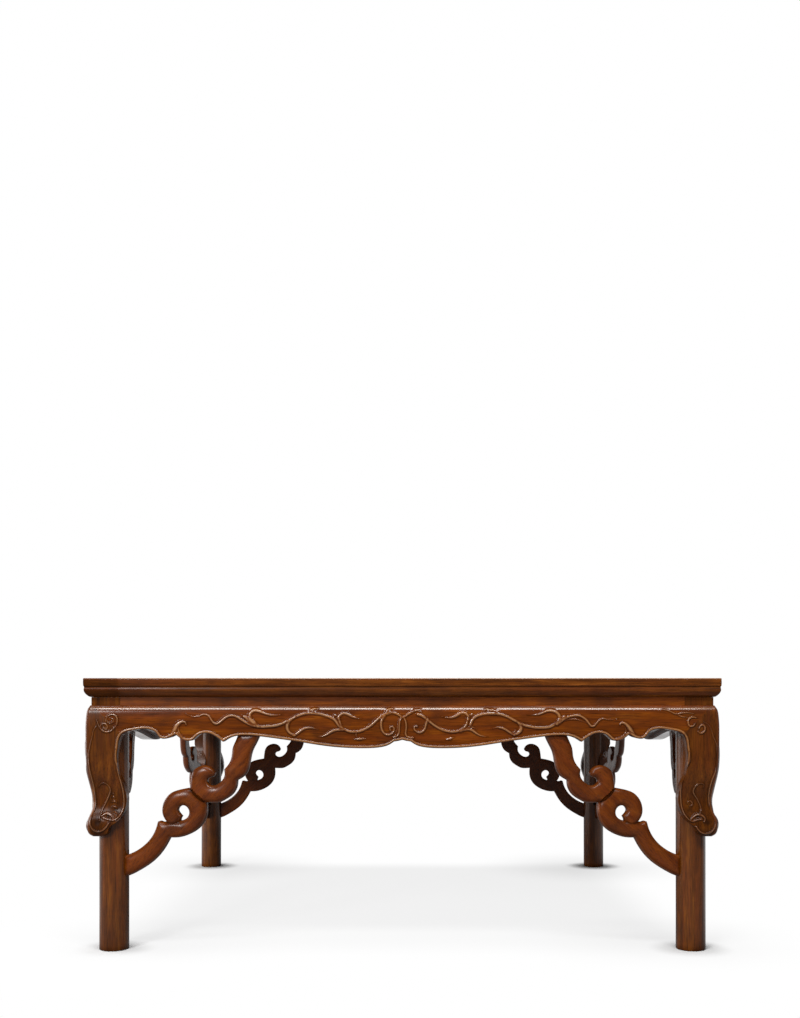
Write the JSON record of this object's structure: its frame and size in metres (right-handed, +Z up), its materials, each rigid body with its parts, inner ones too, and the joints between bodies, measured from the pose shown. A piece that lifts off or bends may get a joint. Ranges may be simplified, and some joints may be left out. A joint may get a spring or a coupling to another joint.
{
  "type": "kang table",
  "caption": "Square low kang table: mitred frame with a floating board top, waist, carved cusped aprons, round legs with curled cabriole shells, openwork scroll braces.",
  "frame": {"origin": "on the floor, below the middle of the square top", "axes": "+Z up, front apron towards -Y, +X to the right as seen from the front"},
  "size_m": [0.96, 0.96, 0.4144],
  "materials": {
    "frame": "waxed and polished",
    "boards": "waxed and polished",
    "battens": "planed, unpolished",
    "waist": "waxed and polished",
    "aprons": "waxed and polished",
    "legs": "waxed and polished",
    "braces": "waxed and polished"
  },
  "bodies": {
    "root": {"stile_front": "frame", "stile_back": "frame", "rail_left": "frame", "rail_right": "frame", "board_front": "boards", "board_middle": "boards", "board_back": "boards", "batten_left": "battens", "batten_middle": "battens", "batten_right": "battens", "waist_front": "waist", "waist_back": "waist", "waist_left": "waist", "waist_right": "waist", "apron_front": "aprons", "apron_back": "aprons", "apron_left": "aprons", "apron_right": "aprons", "leg_front_left": "legs", "leg_front_right": "legs", "leg_back_left": "legs", "leg_back_right": "legs", "brace_front_at_left": "braces", "brace_front_at_right": "braces", "brace_back_at_left": "braces", "brace_back_at_right": "braces", "brace_left_at_front": "braces", "brace_left_at_back": "braces", "brace_right_at_front": "braces", "brace_right_at_back": "braces"}
  },
  "joints": []
}
